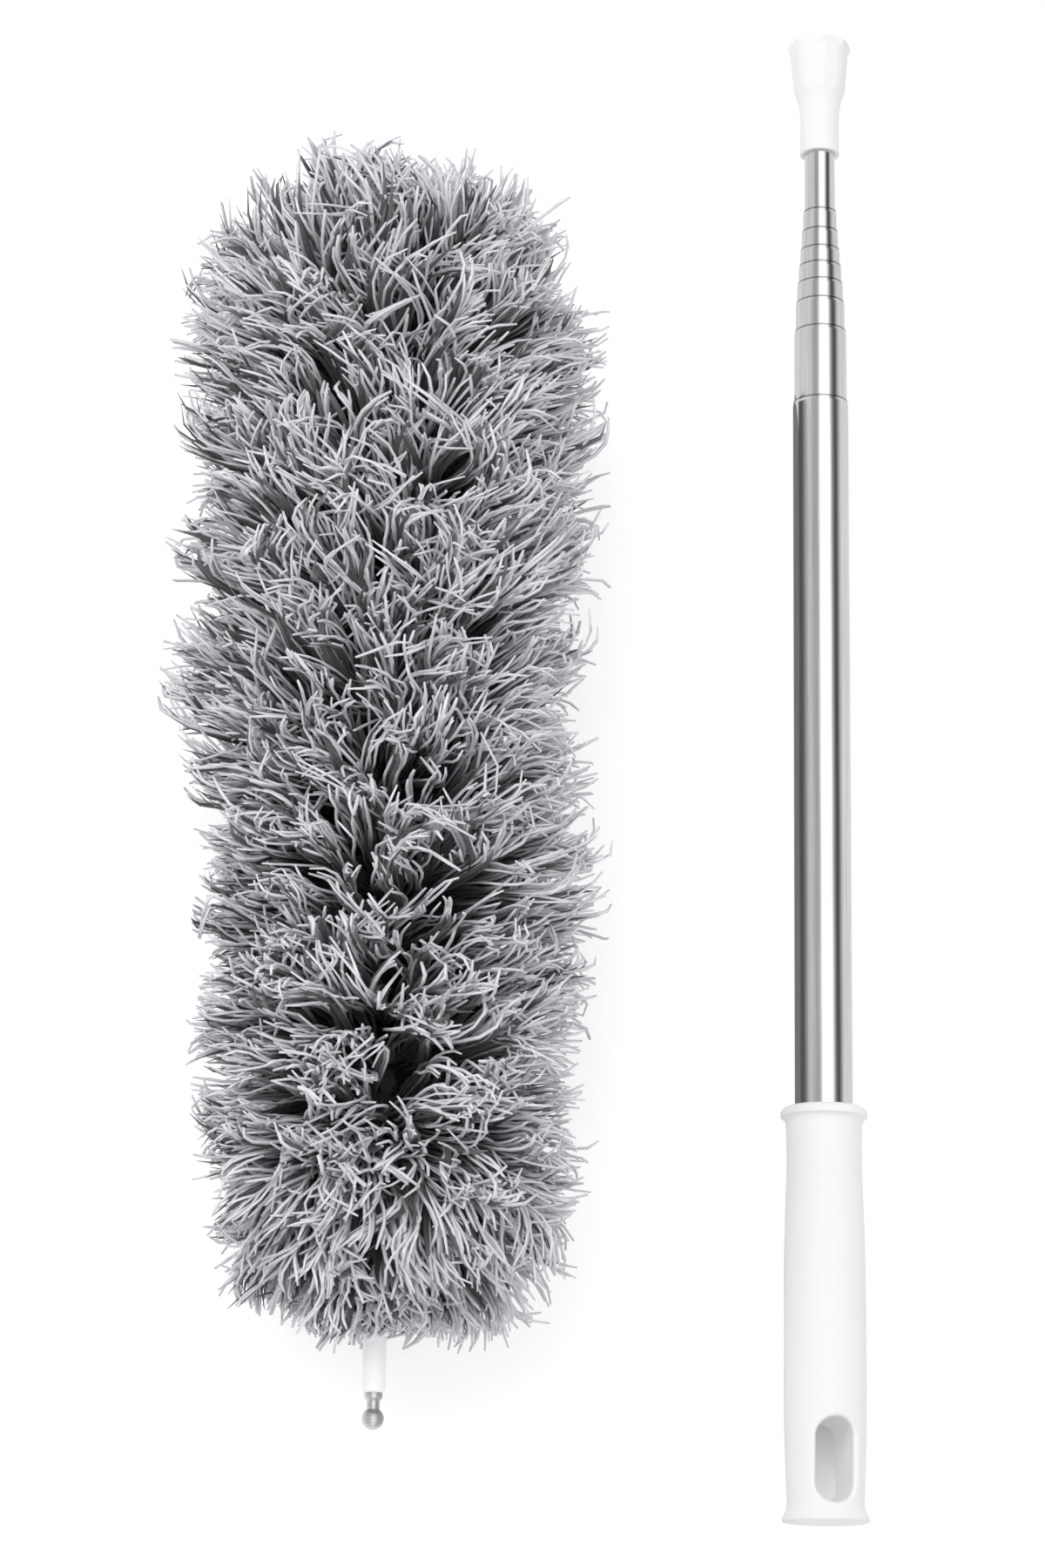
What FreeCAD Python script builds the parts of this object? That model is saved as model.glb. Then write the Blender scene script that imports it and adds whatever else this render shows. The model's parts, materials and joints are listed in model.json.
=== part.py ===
import FreeCAD, Part
import math
import os

import Sketcher

TUBE_COUNT = 9
SEGMENTS = ("base", "lower", "upper", "tip")
WHOLE_TURN = 360.0
TINY_VOLUME = 1e-6
NEAR_ZERO = 1e-9
EDGE_MARGIN = 0.1

# Driving sizes in millimetres and degrees: alias, value, meaning.
SIZES = (
    ("pole_axis_x", 99.125, "pole axis from the middle of the layout"),
    ("pole_axis_z", 14.4, "pole axis above the table, so that the collar bead touches it"),
    ("butt_y", -258.25, "butt face of the handle"),
    ("grip_roll", 12.0, "how far the handle is turned about the pole axis"),
    ("grip_length", 134.85, "butt face to collar face"),
    ("butt_radius", 14.2, "flared butt"),
    ("butt_edge", 0.8, "rounded edge of the butt"),
    ("butt_rim", 1.5, "straight rim of the butt flare"),
    ("flare_top", 7.2, "height at which the flare meets the barrel"),
    ("flare_arc", 8.0, "hollow arc of the flare"),
    ("slot_barrel_radius", 12.55, "barrel radius beside the hang slot"),
    ("barrel_radius", 13.4, "fattest part of the barrel"),
    ("barrel_height", 62.0, "height of the fattest part"),
    ("barrel_arc", 900.0, "swell of the barrel"),
    ("waist_radius", 12.45, "slimmest part under the collar"),
    ("waist_height", 112.0, "height of the slimmest part"),
    ("neck_radius", 12.6, "barrel radius where the bead starts"),
    ("neck_height", 129.1, "height at which the bead starts"),
    ("neck_arc", 260.0, "hollow arc from the waist to the bead"),
    ("bead_radius", 14.4, "collar bead"),
    ("bead_low", 131.6, "bead reaches its full radius"),
    ("bead_high", 132.9, "bead starts to round over"),
    ("bead_under_arc", 3.0, "hollow arc under the bead"),
    ("bead_arc", 2.6, "rounding over the bead"),
    ("collar_radius", 12.1, "flat ring at the top of the collar"),
    ("grip_bore_clearance", 0.02, "gap round the glued outer tube"),
    ("grip_bore_depth", 50.0, "depth of the tube bore"),
    ("slot_low", 5.7, "lower end of the hang slot"),
    ("slot_high", 33.0, "upper end of the hang slot"),
    ("slot_width", 12.4, "width of the hang slot"),
    ("arc_slack", 0.0005, "added to the radius of a half circle so that it closes"),
    ("overrun", 1.0, "how far a cut starts outside the solid"),
    ("slot_edge", 1.1, "rounding of the slot edges"),
    ("outer_tube_radius", 9.6, "outside of the largest tube"),
    ("tube_step", 0.525, "difference in radius from tube to tube"),
    ("tube_wall", 0.3, "wall of every tube"),
    ("lip_height", 1.6, "rolled end of a tube"),
    ("lip_clearance", 0.05, "running gap at a rolled end"),
    ("outer_tube_bottom_y", -173.25, "lower end of the outer tube"),
    ("inner_tube_bottom_y", -165.05, "lower end of every sliding tube"),
    ("plug_height", 7.9, "bottom plug"),
    ("plug_chamfer", 0.6, "lead-in edge of the bottom plug"),
    ("tube_one_top", 228.8, "top of tube 1, inside the socket"),
    ("tube_two_top", 194.6, "top of tube 2"),
    ("tube_three_top", 187.1, "top of tube 3"),
    ("tube_four_top", 180.2, "top of tube 4"),
    ("tube_five_top", 174.1, "top of tube 5"),
    ("tube_six_top", 167.6, "top of tube 6"),
    ("tube_seven_top", 160.5, "top of tube 7"),
    ("tube_eight_top", 149.85, "top of tube 8"),
    ("tube_nine_top", 123.7, "top of the outer tube"),
    ("sleeve_offset", 1.0, "friction sleeve above the tube's lower end"),
    ("sleeve_height", 30.0, "length of a friction sleeve"),
    ("sleeve_clearance", 0.035, "running gap round a friction sleeve"),
    ("socket_bottom_y", 216.25, "lower end of the pole socket"),
    ("socket_length", 42.0, "whole length of the pole socket"),
    ("socket_stem_radius", 6.85, "straight stem"),
    ("socket_stem_height", 13.0, "length of the straight stem"),
    ("socket_throat_radius", 7.55, "stem starting to open"),
    ("socket_throat_height", 20.0, "height of that point"),
    ("socket_cup_radius", 8.85, "lower end of the cup"),
    ("socket_cup_height", 23.6, "height of that point"),
    ("socket_cup_top_radius", 10.25, "cup just under its lip"),
    ("socket_cup_top_height", 38.2, "height of that point"),
    ("socket_lip_radius", 11.0, "lip of the cup"),
    ("socket_lip_height", 40.0, "height at which the lip is full"),
    ("socket_lip_round", 1.4, "rounding of the mouth edge"),
    ("socket_throat_arc", 22.0, "hollow arc of the throat"),
    ("facet_count", 8.0, "flat faces round the cup"),
    ("facet_turn", 22.5, "turn that puts a corner of the cup level with the axis"),
    ("facet_mouth_radius", 10.49, "axis to a flat face at the mouth"),
    ("facet_foot_radius", 8.18, "axis to a flat face at the cup's lower end"),
    ("facet_foot_height", 20.5, "height at which a flat face runs out"),
    ("facet_reach", 30.0, "width of the cut that makes a flat face"),
    ("socket_tube_clearance", 0.02, "gap round tube 1 in the stem"),
    ("socket_tube_depth", 13.0, "depth of the stem bore"),
    ("pin_bore_radius", 4.0, "bore for the head's stub"),
    ("pin_bore_depth", 26.6, "depth of that bore"),
    ("pin_bore_chamfer", 0.8, "lead-in at the mouth"),
    ("ring_depth", 18.6, "mouth to the middle of the spring ring"),
    ("ring_groove_radius", 4.5, "groove for the spring ring"),
    ("ring_groove_width", 1.6, "width of the groove"),
    ("ring_radius", 3.8, "middle of the ring's wire"),
    ("ring_wire_radius", 0.55, "wire of the ring"),
    ("ring_opening", 40.0, "gap in the ring"),
    ("head_axis_x", -45.435, "head axis from the middle of the layout"),
    ("head_axis_z", 62.0, "head axis above the table, with the pile flattened"),
    ("pile_bottom_y", -204.2, "lower end of the pile"),
    ("segment_length", 97.0, "length of one segment of the head"),
    ("segment_gap", 0.3, "gap between two segments"),
    ("bend_half_angle", 15.6, "slope of a segment's face on the inside of a bend"),
    ("pile_reach", 90.0, "larger than any pile radius"),
    ("pile_base_radius", 61.5, "pile at its lower end"),
    ("pile_low_radius", 63.0, "pile at the first bend"),
    ("pile_mid_radius", 66.8, "pile at the second bend"),
    ("pile_high_radius", 68.4, "pile at the third bend"),
    ("pile_tip_radius", 67.6, "pile at its upper end"),
    ("pile_base_round", 38.0, "rounding of the pile's lower end"),
    ("pile_tip_round", 48.0, "rounding of the pile's upper end"),
    ("backing_radius", 5.3, "outside of the woven backing"),
    ("sheath_radius", 3.5, "outside of the core sheath"),
    ("wire_radius", 1.6, "core wire"),
    ("core_gap", 1.9, "core pieces stop this far from a bend"),
    ("core_low_offset", 13.8, "sheath starts this far above the pile's lower end"),
    ("backing_low_offset", 0.6, "backing starts this far above the pile's lower end"),
    ("core_top_offset", 23.0, "core ends this far below the pile's upper end"),
    ("tip_cap_radius", 5.0, "cap on the core's blind end"),
    ("tip_cap_height", 4.0, "height of the cap"),
    ("tip_cap_room", 0.5, "space over the cap"),
    ("tip_cap_round", 3.2, "rounding of the cap"),
    ("stub_bottom_y", -224.2, "lower end of the head's stub"),
    ("stub_radius", 3.7, "visible part of the stub"),
    ("stub_visible", 19.6, "length of the visible part"),
    ("stub_length", 33.8, "whole length of the stub"),
    ("stub_chamfer", 0.5, "edge of the stub"),
    ("pin_shank_radius", 2.0, "snap pin inside the stub"),
    ("pin_shank_length", 14.0, "snap pin inside the stub"),
    ("pin_shoulder_radius", 2.85, "shoulder of the snap pin"),
    ("pin_shoulder_length", 1.6, "shoulder of the snap pin"),
    ("pin_neck_radius", 2.0, "waist of the snap pin"),
    ("pin_shoulder_slope", 1.0, "taper from the waist to the shoulder"),
    ("pin_room", 1.0, "space between the snap pin and the core wire"),
    ("ball_radius", 3.45, "ball of the snap pin"),
    ("ball_middle", 8.0, "stub's end to the middle of the ball"),
)

TUBE_WORDS = ("one", "two", "three", "four", "five", "six", "seven", "eight", "nine")
PILE_RADII = ("pile_base_radius", "pile_low_radius", "pile_mid_radius", "pile_high_radius",
              "pile_tip_radius")

doc = FreeCAD.newDocument("FeatherDuster")
sheet = doc.addObject("Spreadsheet::Sheet", "Size")
for row, (alias, number, meaning) in enumerate(SIZES, start=1):
    sheet.set("A%d" % row, meaning)
    sheet.set("B%d" % row, str(number))
    sheet.setAlias("B%d" % row, alias)
doc.recompute()


def value(expression):
    """The number that an expression on the sheet gives."""
    return float(sheet.evalExpression(expression))


def new_body(label, x, y, z, roll="0"):
    """A body placed by expressions, turned about the Y axis by roll degrees."""
    body = doc.addObject("PartDesign::Body", label)
    body.Label = label
    turned = FreeCAD.Rotation(FreeCAD.Vector(0, 1, 0), value(roll))
    body.Placement = FreeCAD.Placement(FreeCAD.Vector(), turned)
    if roll != "0":
        body.setExpression("Placement.Rotation.Angle", roll)
    for axis, expression in zip("xyz", (x, y, z)):
        body.setExpression("Placement.Base." + axis, expression)
    return body


def plane_of(body, role):
    """One of a body's own origin planes."""
    return next(plane for plane in body.Origin.OriginFeatures if plane.Role == role)


def new_sketch(body, name, role="XY_Plane"):
    sketch = body.newObject("Sketcher::SketchObject", name)
    sketch.AttachmentSupport = (plane_of(body, role), [""])
    sketch.MapMode = "FlatFace"
    return sketch


def hold(sketch, direction, geometry, vertex, expression):
    """Fixes one coordinate of a vertex to an expression, on either side of the origin."""
    number = value(expression)
    if abs(number) < NEAR_ZERO:
        across = -2 if direction == "DistanceX" else -1
        sketch.addConstraint(Sketcher.Constraint("PointOnObject", geometry, vertex, across))
        return
    if number > 0:
        ends = (-1, 1, geometry, vertex)
        text = expression
    else:
        ends = (geometry, vertex, -1, 1)
        text = "-(%s)" % expression
    index = sketch.addConstraint(Sketcher.Constraint(direction, *ends, abs(number)))
    sketch.setExpression("Constraints[%d]" % index, text)


def side(sketch, start, end, bow):
    """Adds one side and returns it with the vertex numbers of its start and end.

    A positive bow is an arc that swells to the right of the way from start to end, a negative
    bow is a hollow arc, and no bow is a straight line.
    """
    if bow is None:
        return sketch.addGeometry(Part.LineSegment(start, end)), 1, 2
    radius = value(bow.lstrip("-"))
    outward = not bow.startswith("-")
    chord = end - start
    middle = (start + end) * 0.5
    across = FreeCAD.Vector(-chord.y, chord.x, 0).normalize()
    rise = math.sqrt(radius ** 2 - (chord.Length / 2) ** 2)
    centre = middle + across * (rise if outward else -rise)
    first, last = (start, end) if outward else (end, start)
    circle = Part.Circle(centre, FreeCAD.Vector(0, 0, 1), radius)
    from_angle = math.atan2(first.y - centre.y, first.x - centre.x)
    to_angle = math.atan2(last.y - centre.y, last.x - centre.x)
    arc = sketch.addGeometry(Part.ArcOfCircle(circle, from_angle, to_angle))
    index = sketch.addConstraint(Sketcher.Constraint("Radius", arc, radius))
    sketch.setExpression("Constraints[%d]" % index, bow.lstrip("-"))
    return (arc, 1, 2) if outward else (arc, 2, 1)


def outline(sketch, corners):
    """Closes a loop through (x, y) or (x, y, bow) corners, each given as expressions."""
    points = [FreeCAD.Vector(value(corner[0]), value(corner[1]), 0) for corner in corners]
    sides = []
    for number, corner in enumerate(corners):
        bow = corner[2] if len(corner) > 2 else None
        sides.append(side(sketch, points[number], points[(number + 1) % len(points)], bow))
    for number, corner in enumerate(corners):
        geometry, start, _ = sides[number]
        before, _, end = sides[number - 1]
        sketch.addConstraint(Sketcher.Constraint("Coincident", before, end, geometry, start))
        hold(sketch, "DistanceX", geometry, start, corner[0])
        hold(sketch, "DistanceY", geometry, start, corner[1])


def turn(body, corners):
    """A solid turned about the body's Y axis; corners are (radius, height) expressions."""
    sketch = new_sketch(body, body.Label + "_profile")
    outline(sketch, corners)
    solid = body.newObject("PartDesign::Revolution", body.Label + "_turned")
    solid.Profile = sketch
    solid.ReferenceAxis = (sketch, ["V_Axis"])
    solid.Angle = WHOLE_TURN
    doc.recompute()
    return solid


def cut(body, name, corners, depth, role="XY_Plane"):
    """A pocket cut evenly to both sides of one of the body's planes."""
    before = body.Shape.Volume
    sketch = new_sketch(body, name + "_outline", role)
    outline(sketch, corners)
    pocket = body.newObject("PartDesign::Pocket", name)
    pocket.Profile = sketch
    pocket.SideType = "Symmetric"
    pocket.setExpression("Length", depth)
    doc.recompute()
    if body.Shape.Volume > before - TINY_VOLUME:
        raise RuntimeError(name + " removes nothing")
    return pocket


def on_pole(label, y, corners, roll="0"):
    body = new_body(label, "Size.pole_axis_x", y, "Size.pole_axis_z", roll)
    turn(body, corners)
    return body


def on_head(label, y, corners):
    body = new_body(label, "Size.head_axis_x", y, "Size.head_axis_z")
    turn(body, corners)
    return body


def ring_profile(inside, outside, low, high):
    """A plain ring or tube."""
    return ((inside, low), (outside, low), (outside, high), (inside, high))


# The handle: a turned barrel with a blind bore for the outer tube, then the hang slot.
grip_bore = "(Size.outer_tube_radius + Size.grip_bore_clearance)"
grip = on_pole("handle_grip", "Size.butt_y", (
    ("0", "0"),
    ("Size.butt_radius - Size.butt_edge", "0", "Size.butt_edge"),
    ("Size.butt_radius", "Size.butt_edge"),
    ("Size.butt_radius", "Size.butt_rim", "-Size.flare_arc"),
    ("Size.slot_barrel_radius", "Size.flare_top", "Size.barrel_arc"),
    ("Size.barrel_radius", "Size.barrel_height", "Size.barrel_arc"),
    ("Size.waist_radius", "Size.waist_height", "-Size.neck_arc"),
    ("Size.neck_radius", "Size.neck_height", "-Size.bead_under_arc"),
    ("Size.bead_radius", "Size.bead_low"),
    ("Size.bead_radius", "Size.bead_high", "Size.bead_arc"),
    ("Size.collar_radius", "Size.grip_length"),
    (grip_bore, "Size.grip_length"),
    (grip_bore, "Size.grip_length - Size.grip_bore_depth"),
    ("0", "Size.grip_length - Size.grip_bore_depth"),
), roll="Size.grip_roll")
slot_half = "Size.slot_width / 2"
slot_arc = slot_half + " + Size.arc_slack"
cut(grip, "hang_slot", (
    ("-Size.slot_width / 2", "Size.slot_low + Size.slot_width / 2", slot_arc),
    (slot_half, "Size.slot_low + Size.slot_width / 2"),
    (slot_half, "Size.slot_high - Size.slot_width / 2", slot_arc),
    ("-Size.slot_width / 2", "Size.slot_high - Size.slot_width / 2"),
), "4 * Size.butt_radius")


def slot_rims(shape):
    """The names of the edges where the hang slot breaks through the barrel."""
    names = []
    half = value(slot_half) + EDGE_MARGIN
    low = value("Size.slot_low") - EDGE_MARGIN
    high = value("Size.slot_high") + EDGE_MARGIN
    depth = value(slot_half)
    for number, edge in enumerate(shape.Edges, start=1):
        box = edge.BoundBox
        inside = box.XMin > -half and box.XMax < half and box.YMin > low and box.YMax < high
        if inside and (box.ZMin > depth or box.ZMax < -depth):
            names.append("Edge%d" % number)
    return names


rounding = grip.newObject("PartDesign::Fillet", "slot_edges")
pocket = doc.getObject("hang_slot")
rounding.Base = (pocket, slot_rims(pocket.Shape))
rounding.setExpression("Radius", "Size.slot_edge")
doc.recompute()

# The tubes, thinnest first. Each rolled end runs on the next thinner tube.
lip_in = "(Size.tube_step - Size.tube_wall - Size.lip_clearance)"
for number, word in enumerate(TUBE_WORDS, start=1):
    outside = "(Size.outer_tube_radius - %d * Size.tube_step)" % (TUBE_COUNT - number)
    inside = "(%s - Size.tube_wall)" % outside
    bottom = "Size.outer_tube_bottom_y" if number == TUBE_COUNT else "Size.inner_tube_bottom_y"
    length = "(Size.tube_%s_top - %s)" % (word, bottom)
    if number == 1:
        corners = ring_profile(inside, outside, "0", length)
    else:
        corners = (
            (inside, "0"),
            (outside, "0"),
            (outside, "%s - Size.lip_height" % length),
            ("%s - %s" % (outside, lip_in), "%s - Size.lip_height / 3" % length),
            ("%s - %s" % (outside, lip_in), length),
            ("%s - %s" % (inside, lip_in), length),
            ("%s - %s" % (inside, lip_in), "%s - Size.lip_height / 3" % length),
            (inside, "%s - Size.lip_height" % length),
        )
    on_pole("tube_%d" % number, bottom, corners)
    if number < TUBE_COUNT:
        sleeve_outside = "%s + Size.tube_step - Size.tube_wall - Size.sleeve_clearance" % outside
        on_pole("friction_sleeve_%d" % number, "Size.inner_tube_bottom_y",
                ring_profile(outside, sleeve_outside, "Size.sleeve_offset",
                             "Size.sleeve_offset + Size.sleeve_height"))

plug_radius = "Size.outer_tube_radius - Size.tube_wall"
on_pole("tube_bottom_plug", "Size.outer_tube_bottom_y", (
    ("0", "0"),
    (plug_radius, "0"),
    (plug_radius, "Size.plug_height - Size.plug_chamfer"),
    (plug_radius + " - Size.plug_chamfer", "Size.plug_height"),
    ("0", "Size.plug_height"),
))

# The pole socket: a stem on tube 1, a faceted cup, and a stepped bore with a spring ring.
thinnest_tube = "Size.outer_tube_radius - %d * Size.tube_step" % (TUBE_COUNT - 1)
stem_bore = thinnest_tube + " + Size.socket_tube_clearance"
ring_middle = "Size.socket_length - Size.ring_depth"
socket = on_pole("pole_socket", "Size.socket_bottom_y", (
    (stem_bore, "0"),
    ("Size.socket_stem_radius", "0"),
    ("Size.socket_stem_radius", "Size.socket_stem_height", "-Size.socket_throat_arc * 2"),
    ("Size.socket_throat_radius", "Size.socket_throat_height", "-Size.socket_throat_arc"),
    ("Size.socket_cup_radius", "Size.socket_cup_height"),
    ("Size.socket_cup_top_radius", "Size.socket_cup_top_height"),
    ("Size.socket_lip_radius", "Size.socket_lip_height"),
    ("Size.socket_lip_radius", "Size.socket_length - Size.socket_lip_round", "Size.socket_lip_round"),
    ("Size.socket_lip_radius - Size.socket_lip_round", "Size.socket_length"),
    ("Size.pin_bore_radius + Size.pin_bore_chamfer", "Size.socket_length"),
    ("Size.pin_bore_radius", "Size.socket_length - Size.pin_bore_chamfer"),
    ("Size.pin_bore_radius", ring_middle + " + Size.ring_groove_width / 2"),
    ("Size.ring_groove_radius", ring_middle + " + Size.ring_groove_width / 2"),
    ("Size.ring_groove_radius", ring_middle + " - Size.ring_groove_width / 2"),
    ("Size.pin_bore_radius", ring_middle + " - Size.ring_groove_width / 2"),
    ("Size.pin_bore_radius", "Size.socket_length - Size.pin_bore_depth"),
    ("0", "Size.socket_length - Size.pin_bore_depth"),
    ("0", "Size.socket_tube_depth"),
    (stem_bore, "Size.socket_tube_depth"),
), roll="Size.facet_turn")
facet = cut(socket, "cup_facet", (
    ("Size.facet_foot_radius", "Size.facet_foot_height"),
    ("2 * Size.socket_lip_radius", "Size.facet_foot_height"),
    ("2 * Size.socket_lip_radius", "Size.socket_length + Size.overrun"),
    ("Size.facet_mouth_radius", "Size.socket_length + Size.overrun"),
), "Size.facet_reach")
facets = socket.newObject("PartDesign::PolarPattern", "cup_facets")
facets.Originals = [facet]
facets.Axis = (plane_of(socket, "Y_Axis"), [""])
facets.Angle = WHOLE_TURN
facets.setExpression("Occurrences", "Size.facet_count")
socket.Tip = facets
doc.recompute()

ring = doc.addObject("Part::Torus", "snap_ring")
ring.Label = "snap_ring"
ring.Placement = FreeCAD.Placement(FreeCAD.Vector(), FreeCAD.Rotation(FreeCAD.Vector(1, 0, 0), 90))
ring.setExpression("Radius1", "Size.ring_radius")
ring.setExpression("Radius2", "Size.ring_wire_radius")
ring.setExpression("Angle3", "360 - Size.ring_opening")
ring.setExpression("Placement.Base.x", "Size.pole_axis_x")
ring.setExpression("Placement.Base.y", "Size.socket_bottom_y + " + ring_middle)
ring.setExpression("Placement.Base.z", "Size.pole_axis_z")

# The head's stub and its snap pin, which points down the head's axis.
on_head("stub_sleeve", "Size.stub_bottom_y", (
    ("Size.pin_shank_radius", "0"),
    ("Size.stub_radius - Size.stub_chamfer", "0"),
    ("Size.stub_radius", "Size.stub_chamfer"),
    ("Size.stub_radius", "Size.stub_visible"),
    ("Size.sheath_radius", "Size.stub_visible"),
    ("Size.sheath_radius", "Size.stub_length"),
    ("Size.wire_radius", "Size.stub_length"),
    ("Size.wire_radius", "Size.pin_shank_length + Size.pin_room"),
    ("Size.pin_shank_radius", "Size.pin_shank_length + Size.pin_room"),
))
pin_base = "Size.ball_middle + Size.ball_radius"
ball_arc = "Size.ball_radius + Size.arc_slack"
on_head("snap_pin", "Size.stub_bottom_y - (%s)" % pin_base, (
    ("0", "0", ball_arc),
    ("Size.ball_radius", "Size.ball_radius", ball_arc),
    ("Size.pin_neck_radius", "Size.ball_radius + sqrt(Size.ball_radius ^ 2 - Size.pin_neck_radius ^ 2)"),
    ("Size.pin_neck_radius", pin_base + " - Size.pin_shoulder_length - Size.pin_shoulder_slope"),
    ("Size.pin_shoulder_radius", pin_base + " - Size.pin_shoulder_length"),
    ("Size.pin_shoulder_radius", pin_base),
    ("Size.pin_shank_radius", pin_base),
    ("Size.pin_shank_radius", pin_base + " + Size.pin_shank_length"),
    ("0", pin_base + " + Size.pin_shank_length"),
))


def bend_face(body, end):
    """Slopes one face of a segment on its left side, to leave room for the bend."""
    foot = "0" if end == "low" else "Size.segment_length"
    past = "-Size.overrun" if end == "low" else "Size.segment_length + Size.overrun"
    sign = "+" if end == "low" else "-"
    slope = "%s %s Size.pile_reach * tan(Size.bend_half_angle * 1deg)" % (foot, sign)
    corners = [("0", foot), ("0", past), ("-Size.pile_reach", past), ("-Size.pile_reach", slope)]
    if end == "high":
        corners.reverse()
    cut(body, "%s_%s_slope" % (body.Label, end), tuple(corners), "3 * Size.pile_reach")


def rest_flat(body):
    """Flattens the pile where it lies on the table."""
    cut(body, body.Label + "_rest", (
        ("-Size.pile_reach", "-2 * Size.pile_reach"),
        ("Size.pile_reach", "-2 * Size.pile_reach"),
        ("Size.pile_reach", "-Size.head_axis_z"),
        ("-Size.pile_reach", "-Size.head_axis_z"),
    ), "4 * Size.segment_length", role="XZ_Plane")


# The head: a core wire, its sheath, the woven backing and the pile, in four segments.
for number, segment in enumerate(SEGMENTS):
    foot = "Size.pile_bottom_y + %d * Size.segment_length" % number
    low = "Size.segment_gap / 2"
    high = "Size.segment_length - Size.segment_gap / 2"
    core_low = "Size.core_gap"
    core_high = "Size.segment_length - Size.core_gap"
    backing_low = core_low
    wire_low = core_low
    sheath_low = core_low
    radius_low = "Size." + PILE_RADII[number]
    radius_high = "Size." + PILE_RADII[number + 1]
    if segment == "base":
        backing_low = "Size.backing_low_offset"
        sheath_low = "Size.core_low_offset"
        wire_low = "Size.stub_bottom_y - Size.pile_bottom_y + Size.pin_shank_length + Size.pin_room"
    if segment == "tip":
        core_high = "Size.segment_length - Size.core_top_offset"
    wire_profile = (("0", wire_low), ("Size.wire_radius", wire_low),
                    ("Size.wire_radius", core_high), ("0", core_high))
    on_head("core_wire_" + segment, foot, wire_profile)
    on_head("core_sheath_" + segment, foot,
            ring_profile("Size.wire_radius", "Size.sheath_radius", sheath_low, core_high))
    on_head("pile_backing_" + segment, foot,
            ring_profile("Size.sheath_radius", "Size.backing_radius", backing_low, core_high))
    cap_top = "%s + Size.tip_cap_height + Size.tip_cap_room" % core_high
    if segment == "base":
        corners = (
            ("Size.backing_radius", "0"),
            (radius_low + " - Size.pile_base_round", "0", "Size.pile_base_round"),
            (radius_low, "Size.pile_base_round"),
            (radius_high, high),
            ("Size.backing_radius", high),
        )
    elif segment == "tip":
        corners = (
            ("Size.backing_radius", low),
            (radius_low, low),
            (radius_high, "Size.segment_length - Size.pile_tip_round", "Size.pile_tip_round"),
            (radius_high + " - Size.pile_tip_round", "Size.segment_length"),
            ("0", "Size.segment_length"),
            ("0", cap_top),
            ("Size.backing_radius", cap_top),
        )
    else:
        corners = (
            ("Size.backing_radius", low),
            (radius_low, low),
            (radius_high, high),
            ("Size.backing_radius", high),
        )
    pile = on_head("pile_" + segment, foot, corners)
    if segment != "base":
        bend_face(pile, "low")
    if segment != "tip":
        bend_face(pile, "high")
    rest_flat(pile)

# The cap closes the blind end of the core.
core_top = "Size.pile_bottom_y + %d * Size.segment_length - Size.core_top_offset" % len(SEGMENTS)
on_head("core_tip_cap", core_top, (
    ("0", "0"),
    ("Size.tip_cap_radius", "0"),
    ("Size.tip_cap_radius", "Size.tip_cap_height - Size.tip_cap_round", "Size.tip_cap_round"),
    ("Size.tip_cap_radius - Size.tip_cap_round", "Size.tip_cap_height"),
    ("0", "Size.tip_cap_height"),
))

doc.recompute()

os.makedirs("parts", exist_ok=True)
pieces = [thing for thing in doc.Objects if thing.TypeId == "PartDesign::Body"] + [ring]
for thing in doc.Objects:
    if "Invalid" in thing.State or "Error" in thing.State:
        raise RuntimeError(thing.Label + " did not build")
for piece in pieces:
    if piece.Shape.isNull() or not piece.Shape.isValid() or not piece.Shape.Solids:
        raise RuntimeError(piece.Label + " is not a valid solid")
    piece.Shape.exportStep("parts/%s.step" % piece.Label)
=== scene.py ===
import json
import math

import bpy
import numpy as np
from mathutils import Matrix, Vector


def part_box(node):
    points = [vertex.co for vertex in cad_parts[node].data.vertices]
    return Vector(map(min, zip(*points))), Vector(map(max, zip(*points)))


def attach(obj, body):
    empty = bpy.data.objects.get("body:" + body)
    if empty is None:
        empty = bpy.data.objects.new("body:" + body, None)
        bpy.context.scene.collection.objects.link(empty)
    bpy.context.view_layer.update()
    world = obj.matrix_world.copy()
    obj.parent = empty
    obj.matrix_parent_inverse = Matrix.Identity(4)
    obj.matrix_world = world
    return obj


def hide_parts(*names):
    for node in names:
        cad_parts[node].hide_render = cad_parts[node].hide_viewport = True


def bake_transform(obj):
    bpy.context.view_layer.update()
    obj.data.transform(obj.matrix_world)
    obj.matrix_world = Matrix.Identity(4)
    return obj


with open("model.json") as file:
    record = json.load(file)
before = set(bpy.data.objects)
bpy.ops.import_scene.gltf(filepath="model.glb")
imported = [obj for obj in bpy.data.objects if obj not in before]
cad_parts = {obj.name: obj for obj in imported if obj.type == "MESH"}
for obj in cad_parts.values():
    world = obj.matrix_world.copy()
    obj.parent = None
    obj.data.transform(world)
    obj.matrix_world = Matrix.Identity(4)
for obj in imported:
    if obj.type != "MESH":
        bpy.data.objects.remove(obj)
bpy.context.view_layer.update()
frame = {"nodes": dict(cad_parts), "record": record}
MM = 0.001
rng = np.random.default_rng(366)
scene = bpy.context.scene


# ---------------------------------------------------------------- materials

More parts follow.
